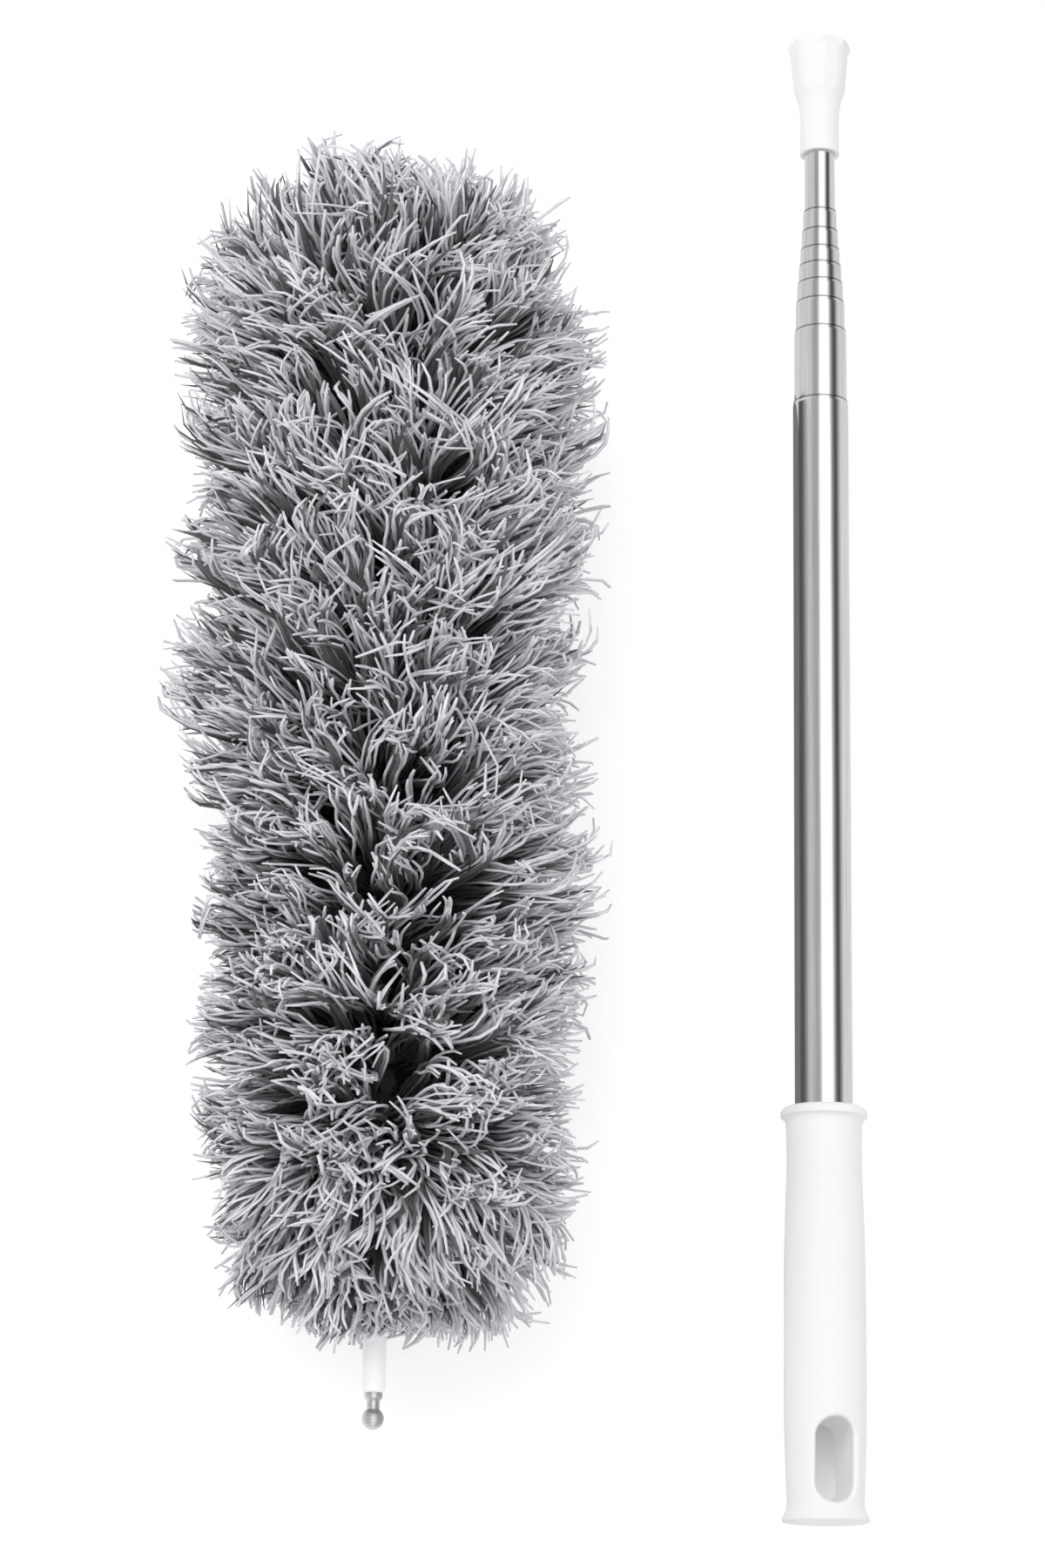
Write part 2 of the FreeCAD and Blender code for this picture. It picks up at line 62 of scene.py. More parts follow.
class Nodes:
    """Builds one node material."""

    def __init__(self, name, slot_colour, **sockets):
        self.material = bpy.data.materials.new(name)
        self.material.use_nodes = True
        self.material.diffuse_color = (*slot_colour, 1)
        self.tree = self.material.node_tree
        self.shader = self.tree.nodes["Principled BSDF"]
        self.shader.inputs["Base Color"].default_value = (*slot_colour, 1)
        for socket, number in sockets.items():
            self.shader.inputs[socket.replace("_", " ")].default_value = number
        self.place = self.tree.nodes.new("ShaderNodeTexCoord").outputs["Object"]

    def node(self, kind, **settings):
        made = self.tree.nodes.new("ShaderNode" + kind)
        for name, setting in settings.items():
            setattr(made, name, setting)
        return made

    def link(self, source, target):
        self.tree.links.new(source, target)

    def stretched(self, scale):
        mapping = self.node("Mapping")
        mapping.inputs["Scale"].default_value = scale
        self.link(self.place, mapping.inputs["Vector"])
        return mapping.outputs["Vector"]

    def noise(self, scale, detail=4.0, vector=None, roughness=0.55):
        made = self.node("TexNoise")
        made.inputs["Scale"].default_value = scale
        made.inputs["Detail"].default_value = detail
        made.inputs["Roughness"].default_value = roughness
        self.link(vector or self.place, made.inputs["Vector"])
        return made.outputs["Fac"]

    def ramp(self, source, *stops):
        """A ramp of (position, colour or grey level) stops."""
        made = self.node("ValToRGB")
        elements = made.color_ramp.elements
        while len(elements) < len(stops):
            elements.new(0.5)
        for element, (position, colour) in zip(elements, stops):
            element.position = position
            grey = isinstance(colour, (int, float))
            element.color = (colour, colour, colour, 1) if grey else (*colour, 1)
        self.link(source, made.inputs["Fac"])
        return made.outputs["Color"]

    def product(self, first, second):
        """One colour times another."""
        made = self.node("Mix", data_type="RGBA", blend_type="MULTIPLY")
        made.inputs[0].default_value = 1.0
        for number, source in ((6, first), (7, second)):
            socket = made.inputs[number]
            if hasattr(source, "links"):
                self.link(source, socket)
            else:
                socket.default_value = (*source, 1)
        return made.outputs[2]

    def maths(self, operation, *sources):
        made = self.node("Math", operation=operation)
        for socket, source in zip(made.inputs, sources):
            if hasattr(source, "links"):
                self.link(source, socket)
            else:
                socket.default_value = source
        return made.outputs[0]

    def to(self, socket, source):
        self.link(source, self.shader.inputs[socket])

    def bump(self, height, distance, strength=1.0):
        made = self.node("Bump")
        made.inputs["Strength"].default_value = strength
        made.inputs["Distance"].default_value = distance
        self.link(height, made.inputs["Height"])
        previous = self.shader.inputs["Normal"].links
        if previous:
            self.link(previous[0].from_socket, made.inputs["Normal"])
        self.link(made.outputs["Normal"], self.shader.inputs["Normal"])


def moulded_plastic(name, colour, shade, roughness=(0.42, 0.58), gloss=0.30, **sockets):
    """Moulded plastic with a faint mottle, uneven polish and a fine grain."""
    made = Nodes(name, colour, Specular_IOR_Level=gloss, **sockets)
    broad = made.noise(26.0, 3.0)
    fine = made.noise(900.0, 5.0)
    made.to("Base Color", made.ramp(broad, (0.3, shade), (0.7, colour)))
    polish = made.noise(90.0, 6.0)
    made.to("Roughness", made.ramp(polish, (0.3, roughness[0]), (0.75, roughness[1])))
    made.bump(made.noise(60.0, 2.0), 0.12 * MM, 0.35)
    made.bump(fine, 0.04 * MM, 0.5)
    return made.material


# Length of the painted shade band round each tube's rolled end.
END_SHADE_LENGTH = 1.0 * MM


def polished_tube(name, top):
    """Drawn and polished stainless steel: scratches run along the tube, and a painted shade darkens its
    rolled end.
    """
    made = Nodes(name, (0.80, 0.79, 0.795), Metallic=1.0, Anisotropic=0.35)
    along = made.stretched((1.0, 0.012, 1.0))
    streaks = made.noise(1500.0, 4.0, along)
    smears = made.noise(30.0, 4.0, made.stretched((1.0, 0.25, 1.0)))
    tint = made.ramp(smears, (0.3, (0.70, 0.69, 0.71)), (0.7, (0.83, 0.82, 0.82)))
    worn = made.ramp(streaks, (0.25, (0.80, 0.80, 0.80)), (0.6, (1.0, 1.0, 1.0)))
    split = made.node("SeparateXYZ")
    made.link(made.place, split.inputs[0])
    below_end = made.maths("SUBTRACT", top, split.outputs["Y"])
    # Painted shade: the steel is darkened in a band at the tube's rolled end.
    painted_end_shade = made.ramp(made.maths("MULTIPLY", below_end, 1 / END_SHADE_LENGTH), (0.50, 0.42), (0.75, 1.0))
    made.to("Base Color", made.product(made.product(tint, worn), painted_end_shade))
    made.to("Roughness", made.maths("MULTIPLY_ADD", streaks, 0.12, 0.05))
    made.bump(streaks, 0.01 * MM, 0.35)
    return made.material


def turned_steel(name, colour, roughness):
    """Turned wire or pin: fine rings round the axis."""
    made = Nodes(name, colour, Metallic=1.0)
    rings = made.noise(2600.0, 3.0, made.stretched((0.02, 1.0, 0.02)))
    shade = tuple(level * 0.72 for level in colour)
    made.to("Base Color", made.ramp(rings, (0.3, shade), (0.7, colour)))
    made.to("Roughness", made.ramp(made.noise(300.0), (0.3, roughness[0]), (0.7, roughness[1])))
    made.bump(rings, 0.03 * MM, 0.6)
    return made.material


def woven_tape(name):
    """Dark tape with a plain weave."""
    made = Nodes(name, (0.10, 0.10, 0.105), Roughness=0.95, Sheen_Weight=0.2)
    waves = []
    for direction in ("X", "Y"):
        wave = made.node("TexWave", bands_direction=direction)
        wave.inputs["Scale"].default_value = 420.0
        wave.inputs["Distortion"].default_value = 1.5
        made.link(made.place, wave.inputs["Vector"])
        waves.append(wave.outputs["Fac"])
    weave = made.maths("MAXIMUM", *waves)
    made.to("Base Color", made.ramp(weave, (0.1, (0.04, 0.04, 0.045)), (0.9, (0.13, 0.13, 0.14))))
    made.bump(weave, 0.2 * MM, 0.8)
    return made.material


def yarn(name, colour, depth, grain, twist):
    """Microfibre yarn, with painted shade that darkens it towards its root.

    The UV map "Yarn" holds the way along the yarn, and the yarn's number plus the way round it.
    depth is the painted shade along the way, darkest at the root, grain the darkest fibre and twist the
    turns of the ply.
    """
    made = Nodes(name, colour, Roughness=0.9, Sheen_Weight=0.2, Specular_IOR_Level=0.15)
    uv = made.node("UVMap", uv_map="Yarn").outputs["UV"]
    split = made.node("SeparateXYZ")
    made.link(uv, split.inputs[0])
    way, packed = split.outputs["X"], split.outputs["Y"]
    number = made.maths("FLOOR", packed)
    round_it = made.maths("FRACT", packed)
    own = made.node("TexWhiteNoise", noise_dimensions="1D")
    made.link(number, own.inputs["W"])
    fibre_place = made.node("CombineXYZ")
    made.link(made.maths("MULTIPLY", round_it, 9.0), fibre_place.inputs[0])
    made.link(made.maths("MULTIPLY", way, 3.0), fibre_place.inputs[1])
    made.link(made.maths("MULTIPLY", number, 1.7), fibre_place.inputs[2])
    fibres = made.noise(1.6, 3.0, fibre_place.outputs[0])
    # Painted shade: the yarn darkens towards its root, where shade falls deep in the pile.
    light = made.ramp(way, *depth)
    each = made.ramp(own.outputs["Value"], (0.0, 0.80), (0.4, 0.97), (1.0, 1.0))
    patch = made.ramp(made.noise(48.0, 2.0), (0.35, 0.84), (0.55, 1.0))
    streak = made.ramp(fibres, (0.3, grain), (0.62, 1.0))
    fleck = made.ramp(made.noise(800.0, 3.0), (0.3, 0.90), (0.55, 1.0))
    shade = made.product(made.product(light, each), made.product(patch, streak))
    made.to("Base Color", made.product(made.product(shade, fleck), colour))
    turns = made.maths("ADD", made.maths("MULTIPLY", way, twist), round_it)
    ply = made.maths("SINE", made.maths("MULTIPLY", turns, 2 * math.pi))
    made.bump(ply, 0.10 * MM, 0.45)
    made.bump(fibres, 0.30 * MM, 0.7)
    made.bump(made.noise(2500.0, 3.0), 0.12 * MM, 0.6)
    return made.material


WHITE = (0.89, 0.88, 0.89)
white_plastic = moulded_plastic("white_moulding", WHITE, (0.865, 0.86, 0.868), gloss=0.12,
                                Subsurface_Weight=0.04, Subsurface_Scale=0.002)
# The stub's plastic glows a little, painted light that lifts it where the pile shades it.
stub_plastic = moulded_plastic("glowing_stub_moulding", (0.93, 0.93, 0.94), (0.88, 0.88, 0.895),
                               Subsurface_Weight=0.1, Subsurface_Scale=0.002, Emission_Strength=0.10)
dark_plastic = moulded_plastic("plug_moulding", (0.06, 0.06, 0.06), (0.03, 0.03, 0.03))
nylon = moulded_plastic("sleeve_nylon", (0.68, 0.67, 0.62), (0.60, 0.59, 0.55))
soft_tube = moulded_plastic("sheath_tube", (0.80, 0.80, 0.79), (0.70, 0.70, 0.70), roughness=(0.5, 0.7))
pin_steel = turned_steel("pin_steel", (0.74, 0.73, 0.73), (0.38, 0.55))
wire_steel = turned_steel("wire_steel", (0.50, 0.50, 0.52), (0.22, 0.45))
tape = woven_tape("woven_tape")
# Painted shade along a yarn, from its root to its tip, for the white and the grey yarns.
WHITE_ROOT_SHADE = ((0.0, 0.02), (0.45, 0.06), (0.60, 0.34), (0.72, 0.94), (1.0, 1.0))
GREY_ROOT_SHADE = ((0.0, 0.02), (0.50, 0.07), (0.72, 0.42), (1.0, 1.0))
white_yarn = yarn("white_yarn", (0.965, 0.945, 1.0), WHITE_ROOT_SHADE, 0.92, 16.0)
grey_yarn = yarn("grey_yarn", (0.26, 0.255, 0.258), GREY_ROOT_SHADE, 0.45, 2.0)
# Near-black yarns, a dark layer that stands in for the shade deep in the pile.
shade_yarn = yarn("shade_yarn", (0.06, 0.06, 0.062), GREY_ROOT_SHADE, 0.5, 2.0)

# Each tube has its own steel, since each has its rolled end, with its painted shade, at another place.
SLOT_MATERIALS = {
    "white_plastic": white_plastic,
    "stub_plastic": stub_plastic,
    "polished_steel": None,
    "pin_steel": pin_steel,
    "spring_steel": wire_steel,
    "core_steel": wire_steel,
    "sleeve_plastic": nylon,
    "dark_plastic": dark_plastic,
    "sheath_plastic": soft_tube,
    "backing_fabric": tape,
    "pile_fabric": grey_yarn,
}
for entry in frame["record"]["subparts"]:
    thing = frame["nodes"][entry["node"]]
    paint = SLOT_MATERIALS[entry["material_slot"]]
    if paint is None:
        top = max(vertex.co.y for vertex in thing.data.vertices)
        paint = polished_tube("polished_" + entry["node"], top)
    for place in thing.material_slots:
        place.link = "OBJECT"
        place.material = paint


# ---------------------------------------------------------------- pile

SEGMENTS = ("base", "lower", "upper", "tip")
boxes = [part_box("pile_" + name) for name in SEGMENTS]
core_low, core_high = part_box("core_wire_base")
AXIS = Vector(((core_low.x + core_high.x) / 2, 0, (core_low.z + core_high.z) / 2))
BOTTOM = boxes[0][0].y
TOP = boxes[3][1].y
LENGTH = TOP - BOTTOM
ROOT_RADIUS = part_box("pile_backing_lower")[1].z - AXIS.z
ROOT_LOW, ROOT_HIGH = BOTTOM + 8 * MM, TOP - 29 * MM

# The pile's outside in mm: place along the axis, radius, and shift of its middle towards +X.
OUTSIDE = (
    (-207, 61.5, 3.5), (-153, 62.0, 4.0), (-109, 62.5, 3.1), (-87, 63.0, 4.9), (-54, 65.5, 4.9),
    (-31, 65.5, 2.5), (-9, 69.0, -3.1), (24, 70.0, -4.3), (70, 70.0, -1.8), (105, 70.0, -1.7),
    (139, 70.5, -4.3), (185, 71.0, -5.0),
)
OUTSIDE_AT, OUTSIDE_RADIUS, OUTSIDE_SHIFT = np.array(OUTSIDE).T * MM
LOW_END, HIGH_END = OUTSIDE_AT[0], OUTSIDE_AT[-1]
# Length and squareness of the rounding at the two ends.
LOW_ROUND, LOW_POWER = 58 * MM, 3.0
HIGH_ROUND, HIGH_POWER = 70 * MM, 2.5
# Lean of the yarns towards the tip in degrees, at places along the axis in mm.
LEAN_AT = (-204, -175, -145, -90, 0, 100, 188)
LEAN = (-12.0, -18.0, -4.0, 12.0, 20.0, 22.0, 4.0)
UPRIGHT = math.pi / 2
GOLDEN = math.pi * (3 - math.sqrt(5))
ALONG = np.array([0.0, 1.0, 0.0])
# How steeply a tuft falls away from its middle, in 1/m, and where the longest loops lie.
DOME = 60
TOP_LOOPS, TOP_LOOPS_REACH = 0.085, 0.045
# Share of that looping along the rest of the crown.
CROWN_LOOPS = 0.5
# How far yarns stand out of the pile freely, and how much is left of what goes beyond.
LOOSE, DRAWN_IN = 2.0 * MM, 0.3
# Heights of pressed yarns above the table, and how thickly they lie on each other.
PRESSED_ROOT, PRESSED_TIP, PRESSED_LAYER = 1.2 * MM, 4 * MM, 0.04


def end_factor(y):
    """Share of the full radius that is left near the two ends."""
    low = np.clip((LOW_END + LOW_ROUND - y) / LOW_ROUND, 0, 1)
    high = np.clip((y - HIGH_END + HIGH_ROUND) / HIGH_ROUND, 0, 1)
    return (1 - low ** LOW_POWER) ** (1 / LOW_POWER) * (1 - high ** HIGH_POWER) ** (1 / HIGH_POWER)


def outer_radius(y, angle):
    """Radius of the pile's outside at a place along the axis and an angle round it."""
    radius = np.interp(y, OUTSIDE_AT, OUTSIDE_RADIUS)
    shift = np.interp(y, OUTSIDE_AT, OUTSIDE_SHIFT)
    return (radius + shift * np.cos(angle)) * end_factor(y)


def radial_way(angle):
    return np.stack([np.cos(angle), np.zeros(len(angle)), np.sin(angle)], 1)


def unit(vectors):
    return vectors / (np.linalg.norm(vectors, axis=-1, keepdims=True) + 1e-12)


def surface_points(count):
    """Spreads points evenly over the pile's outside: place along the axis, angle, surface tilt."""
    y = np.linspace(LOW_END, HIGH_END, 2001)
    radius = outer_radius(y, UPRIGHT)
    step_y, step_radius = np.gradient(y), np.gradient(radius)
    area = np.cumsum(np.maximum(radius, MM) * np.hypot(step_y, step_radius))
    wanted = (np.arange(count) + 0.5) / count * area[-1]
    tilt = np.arctan2(-step_radius, step_y)
    return np.interp(wanted, area, y), np.arange(count) * GOLDEN, np.interp(wanted, area, tilt)


def settle(path):
    """Draws in yarns that stick out too far, and presses those under the head flat on the table."""
    x, y, height = path[:, :, 0] - AXIS.x, path[:, :, 1], path[:, :, 2] - AXIS.z
    out = np.hypot(x, height)
    shift = np.interp(y, OUTSIDE_AT, OUTSIDE_SHIFT) * x / np.maximum(out, MM)
    limit = np.interp(y, OUTSIDE_AT, OUTSIDE_RADIUS) + shift + LOOSE
    kept = np.where(out > limit, (limit + (out - limit) * DRAWN_IN) / np.maximum(out, MM), 1.0)
    height = AXIS.z + height * kept
    way = np.linspace(0, 1, path.shape[1])[None]
    low = PRESSED_ROOT + PRESSED_TIP * rng.random((path.shape[0], 1)) * way
    path[:, :, 0] = AXIS.x + x * kept
    path[:, :, 2] = np.where(height < low, low + (low - height) * PRESSED_LAYER, height)
    return path


# How unevenly flat yarns face, and the share of the UV map's height that goes round a yarn.
FACING_SPREAD = 0.3
UV_SHARE, UV_MARGIN = 0.98, 0.01


def yarn_mesh(name, path, facing, width, thickness, taper, corners, material):
    """Flat yarns with tapered ends, as one mesh with a UV map along and round each yarn."""
    count, steps, _ = path.shape
    way = unit(np.gradient(path, axis=1))
    across = unit(np.cross(way, facing[:, None] + rng.normal(0, FACING_SPREAD, (count, 1, 3))))
    up = np.cross(way, across)
    t = np.linspace(0, 1, steps)
    size = np.interp(t, *zip(*taper))
    turn = 2 * math.pi * np.arange(corners) / corners
    half_width = (width[:, None] / 2 * size)[:, :, None, None]
    half_thickness = (thickness[:, None] / 2 * size)[:, :, None, None]
    wide = across[:, :, None] * np.cos(turn)[None, None, :, None] * half_width
    thick = up[:, :, None] * np.sin(turn)[None, None, :, None] * half_thickness
    points = (path[:, :, None] + wide + thick).reshape(-1, 3)
    corner = np.arange(corners)
    after = (corner + 1) % corners
    ring = np.stack([corner, after, after + corners, corner + corners], 1)
    starts = (np.arange(count)[:, None] * steps + np.arange(steps - 1)[None]) * corners
    quads = (starts[:, :, None, None] + ring).reshape(-1, 4)
    caps = ((np.arange(count) + 1) * steps - 1)[:, None] * corners + corner
    loops = np.concatenate([quads.ravel(), caps.ravel()])
    sizes = np.concatenate([np.full(len(quads), 4), np.full(count, corners)])
    mesh = bpy.data.meshes.new(name)
    mesh.vertices.add(len(points))
    mesh.vertices.foreach_set("co", points.astype(np.float32).ravel())
    mesh.loops.add(len(loops))
    mesh.loops.foreach_set("vertex_index", loops.astype(np.int32))
    mesh.polygons.add(len(sizes))
    mesh.polygons.foreach_set("loop_start", (np.cumsum(sizes) - sizes).astype(np.int32))
    mesh.polygons.foreach_set("use_smooth", np.ones(len(sizes), bool))
    uv = mesh.uv_layers.new(name="Yarn")
    round_it = np.stack([corner, corner + 1, corner + 1, corner], 1) / corners * UV_SHARE + UV_MARGIN
    quad_round = np.broadcast_to(round_it, (count, steps - 1) + round_it.shape)
    quad_number = np.broadcast_to(np.arange(count)[:, None, None, None], quad_round.shape)
    cap_round = np.broadcast_to(corner / corners * UV_SHARE + UV_MARGIN, (count, corners))
    cap_number = np.broadcast_to(np.arange(count)[:, None], cap_round.shape)
    along = t[loops // corners % steps]
    packed = np.concatenate([(quad_number + quad_round).ravel(), (cap_number + cap_round).ravel()])
    uv.data.foreach_set("uv", np.stack([along, packed], 1).astype(np.float32).ravel())
    mesh.update()
    mesh.validate()
    mesh.materials.append(material)
    thing = bpy.data.objects.new(name, mesh)
    scene.collection.objects.link(thing)
    return thing


# Standard deviations of the tufts: angle round the axis, depth, place along it, lean and turn.
TUFT_ANGLE, TUFT_DEPTH, TUFT_PLACE, TUFT_LEAN, TUFT_TURN = 0.10, 3.2 * MM, 4.5 * MM, 0.38, 0.50
# The same for the guide lines in a tuft: angle, length, and place and angle of the root.
LOCK_ANGLE, LOCK_LENGTH, LOCK_ROOT, LOCK_ROOT_ANGLE = 0.02, 2.0 * MM, 3 * MM, 0.14
# How deep the tufts' middles are below the outside, and how much of its tilt they follow.
TUFT_SUNK, TILT_FOLLOWED = 2.2 * MM, 0.92
# Limits that keep the lines sound: reach, lean, radius at a tuft and at a tip, fall of a dome.
LEAST_REACH, STEEPEST = 4 * MM, 1.0
LEAST_TUFT_RADIUS, LEAST_RADIUS, DEEPEST_DOME = 14 * MM, 3 * MM, 12 * MM
# Half the angle of the looping crown, and what looping adds to the spread and to the curl.
CROWN_ANGLE, LOOPED_SPREAD, LOOPED_CURL = 0.6, 0.8, 1.4
# Handles of a guide line, as shares of its length, and how its root's handle points out and along.
ROOT_HANDLE, TIP_HANDLE, OUTWARD, LEANING = 0.33, 0.36, 0.8, 0.6
# Where along a yarn its bundle starts to open or close, the share of yarns that stray, and how far
# those and the others leave the line.
GATHERED = 0.78
STRAYS, STRAY_GAIN, TAME_GAIN = 0.16, 3.0, 0.6


class Locks:
    """Curved guide lines, gathered in domed tufts, that bundles of yarns follow."""

    def __init__(self, tufts, per_tuft, gather, curl, spread):
        y, angle, tilt = surface_points(tufts)
        lean = TILT_FOLLOWED * tilt + np.radians(np.interp(y / MM, LEAN_AT, LEAN))
        angle = angle + rng.normal(0, TUFT_ANGLE, tufts)
        radius = outer_radius(y, angle) + rng.normal(-TUFT_SUNK, TUFT_DEPTH, tufts)
        y = y + rng.normal(0, TUFT_PLACE, tufts)
        reach = np.maximum(radius - ROOT_RADIUS, LEAST_REACH)
        root_y = y - reach * np.tan(np.clip(lean, -STEEPEST, STEEPEST))
        root_y = np.clip(root_y, ROOT_LOW, ROOT_HIGH)
        lean = lean + rng.normal(0, TUFT_LEAN, tufts)
        turned = rng.normal(0, TUFT_TURN, tufts)
        tuft = np.repeat(np.arange(tufts), per_tuft)
        count = len(tuft)
        aside, ahead = rng.normal(0, 1, (2, count)) * gather
        own_y = np.clip(y[tuft] + ahead * np.cos(tilt[tuft]), LOW_END + MM, HIGH_END - MM)
        own_angle = angle[tuft] + aside / np.maximum(radius[tuft], LEAST_TUFT_RADIUS)
        own_angle += rng.normal(0, LOCK_ANGLE, count)
        level = np.clip(y[tuft], LOW_END + MM, HIGH_END - MM)
        follow = outer_radius(own_y, own_angle) - outer_radius(level, angle[tuft])
        dome = np.minimum(DOME * (aside ** 2 + ahead ** 2), DEEPEST_DOME)
        own_radius = radius[tuft] + follow - dome + rng.normal(0, LOCK_LENGTH, count)
        own_radius = np.maximum(own_radius, LEAST_RADIUS)
        own_root = np.clip(root_y[tuft] + rng.normal(0, LOCK_ROOT, count), ROOT_LOW, ROOT_HIGH)
        root_angle = angle[tuft] + rng.normal(0, LOCK_ROOT_ANGLE, count)
        crown = np.exp(-((own_angle % (2 * math.pi) - UPRIGHT) / CROWN_ANGLE) ** 2)
        near_loops = np.exp(-((own_y - TOP_LOOPS) / TOP_LOOPS_REACH) ** 2)
        over_top = crown * (CROWN_LOOPS + (1 - CROWN_LOOPS) * near_loops)

        radial = radial_way(root_angle)
        tip_radial = radial_way(own_angle)
        tangent = np.cross(tip_radial, ALONG)
        middle = np.array(AXIS)
        self.root = middle + radial * (ROOT_RADIUS + 0.5 * MM) + ALONG * own_root[:, None]
        self.tip = middle + tip_radial * own_radius[:, None] + ALONG * own_y[:, None]
        length = np.linalg.norm(self.tip - self.root, axis=1)[:, None]
        tip_lean = lean[tuft] + rng.normal(0, 1, count) * spread * (1 + LOOPED_SPREAD * over_top)
        sideways = turned[tuft] + rng.normal(0, 1, count) * spread * (1 + LOOPED_SPREAD * over_top)
        end_way = unit(tip_radial * np.cos(tip_lean)[:, None] + ALONG * np.sin(tip_lean)[:, None]
                       + tangent * sideways[:, None])
        rise = ALONG * np.sin(lean[tuft])[:, None] * LEANING
        self.first = self.root + (radial * OUTWARD + rise) * length * ROOT_HANDLE
        self.second = self.tip - end_way * length * TIP_HANDLE
        turn = rng.normal(0, 0.5, count)[:, None]
        self.aside = unit(np.cross(end_way, tip_radial * 0.2 + ALONG * np.sin(turn) + tangent * 0.01)
                          + tangent * np.cos(turn))
        self.above = unit(np.cross(self.aside, end_way))
        self.phase = rng.uniform(0, 2 * math.pi, (2, count))
        self.waves = rng.uniform(0.55, 1.40, (2, count))
        self.curl = curl * rng.gamma(2.2, 0.45, count) * (1 + LOOPED_CURL * over_top)
        self.close = rng.uniform(0.5, 1.9, count)
        self.left = -np.cos(own_angle)
        self.count = count

    def yarns(self, per_lock, steps, aside, above, reach, wobble, stray):
        """Paths beside the guide lines and the way that each path faces.

        aside and above place a yarn beside its line, reach is the shortest and longest share of the
        line's length and what the left side adds, wobble is the yarn's own wave and stray how far
        its end leaves the line.
        """
        lock = np.repeat(np.arange(self.count), per_lock)
        count = len(lock)
        share = np.linspace(0, 1, steps)[None]
        t = share * (rng.uniform(*reach[:2], count) + reach[2] * self.left[lock])[:, None]
        near = 1 - t
        path = ((near ** 3)[:, :, None] * self.root[lock][:, None]
                + (3 * near ** 2 * t)[:, :, None] * self.first[lock][:, None]
                + (3 * near * t ** 2)[:, :, None] * self.second[lock][:, None]
                + (t ** 3)[:, :, None] * self.tip[lock][:, None])
        grown = self.curl[lock][:, None] * t ** 1.4
        bundle = np.interp(share[0], (0, 0.45, GATHERED, 1), (0.3, 0.9, 1.0, 0.0))[None]
        bundle = bundle + self.close[lock][:, None] * np.interp(share[0], (GATHERED, 1), (0, 1))[None]
        own_phase = rng.uniform(0, 2 * math.pi, (2, count, 1))
        own_waves = rng.uniform(1.0, 2.6, (2, count, 1))
        loose = rng.normal(0, 1, (2, count)) * stray
        loose = loose * np.where(rng.random(count) < STRAYS, STRAY_GAIN, TAME_GAIN)
        offset = rng.uniform(*aside, count) * rng.choice((-1, 1), count), rng.normal(*above, count)
        for side, way in enumerate((self.aside[lock], self.above[lock])):
            turn = self.phase[side][lock][:, None] + self.waves[side][lock][:, None] * 2 * math.pi * t
            own = own_phase[side] + own_waves[side] * 2 * math.pi * share
            shift = (np.sin(turn) * grown + offset[side][:, None] * bundle
                     + np.sin(own) * wobble * share + loose[side][:, None] * share ** 3)
            path = path + way[:, None] * shift[:, :, None]
        return settle(path), self.above[lock]


def split_by_bend(path):
    """The bend that each yarn belongs to, from where its root is: 0 is the base, 4 is the tip."""
    middles = [BOTTOM + LENGTH * (i + 0.5) / 4 for i in range(4)]
    return np.searchsorted(middles, path[:, 0, 1])


def hang(thing, zone):
    """A yarn piece rides on the base or the tip, or keeps its place across the joint of its zone; the
    pile segment of its zone is hidden.
    """
    if zone == 0:
        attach(thing, "head_base")
    elif zone == len(SEGMENTS):
        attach(thing, "head_tip")
    else:
        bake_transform(thing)
    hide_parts("pile_" + SEGMENTS[min(zone, 3)])


# Width along a yarn, as a share of its greatest: flat dark yarns, and round white ones.
LEAF = ((0, 0.35), (0.2, 0.6), (0.6, 1.0), (0.8, 0.9), (0.93, 0.55), (1, 0.12))
STRAND = ((0, 0.8), (0.1, 1.0), (0.92, 1.0), (0.98, 0.95), (1, 0.65))


def sides(path, by_height):
    """Yarns by where their tips are, so that no piece is too big a mesh."""
    left, top = path[:, -1, 0] < AXIS.x, path[:, -1, 2] > AXIS.z
    if not by_height:
        return {"left": left, "right": ~left}
    return {"left_top": left & top, "left_under": left & ~top,
            "right_top": ~left & top, "right_under": ~left & ~top}


def make_pile():
    """Three layers on the same guide lines: short near-black yarns that stand in for the shade deep in
    the pile, grey ones and white ones.
    """
    locks = Locks(560, 6, 4.6 * MM, 3.3 * MM, 0.46)
    # Short near-black yarns, standing in for the shade deep in the pile.
    under = locks.yarns(1, 6, (0, 2.0 * MM), (0.0, 1.0 * MM), (0.45, 0.62, 0.0), 0.3 * MM, 0.5 * MM)
    grey = locks.yarns(2, 10, (0, 1.8 * MM), (-0.8 * MM, 0.6 * MM), (0.80, 0.97, 0.035),
                       0.6 * MM, 0.9 * MM)
    white = locks.yarns(4, 14, (0.9 * MM, 3.0 * MM), (0.8 * MM, 1.1 * MM), (0.86, 1.02, -0.015),
                        1.5 * MM, 1.9 * MM)
    for name, (path, facing), material, width, thickness, taper, corners in (
        ("under", under, shade_yarn, (2.2, 3.6), (0.8, 1.2), LEAF, 6),
        ("grey", grey, grey_yarn, (1.4, 2.8), (0.6, 1.1), LEAF, 6),
        ("white", white, white_yarn, (1.0, 1.4), (0.85, 1.05), STRAND, 4),
    ):
        zones = split_by_bend(path)
        wide = rng.uniform(*width, len(path)) * MM
        thick = rng.uniform(*thickness, len(path)) * MM
        for side, on_side in sides(path, name == "white").items():
            for zone in range(len(SEGMENTS) + 1):
                chosen = on_side & (zones == zone)
                piece_name = "pile_%s_%s_%d" % (name, side, zone + 1)
                piece = yarn_mesh(piece_name, path[chosen], facing[chosen], wide[chosen],
                                  thick[chosen], taper, corners, material)
                hang(piece, zone)


# ---------------------------------------------------------------- table, light, camera

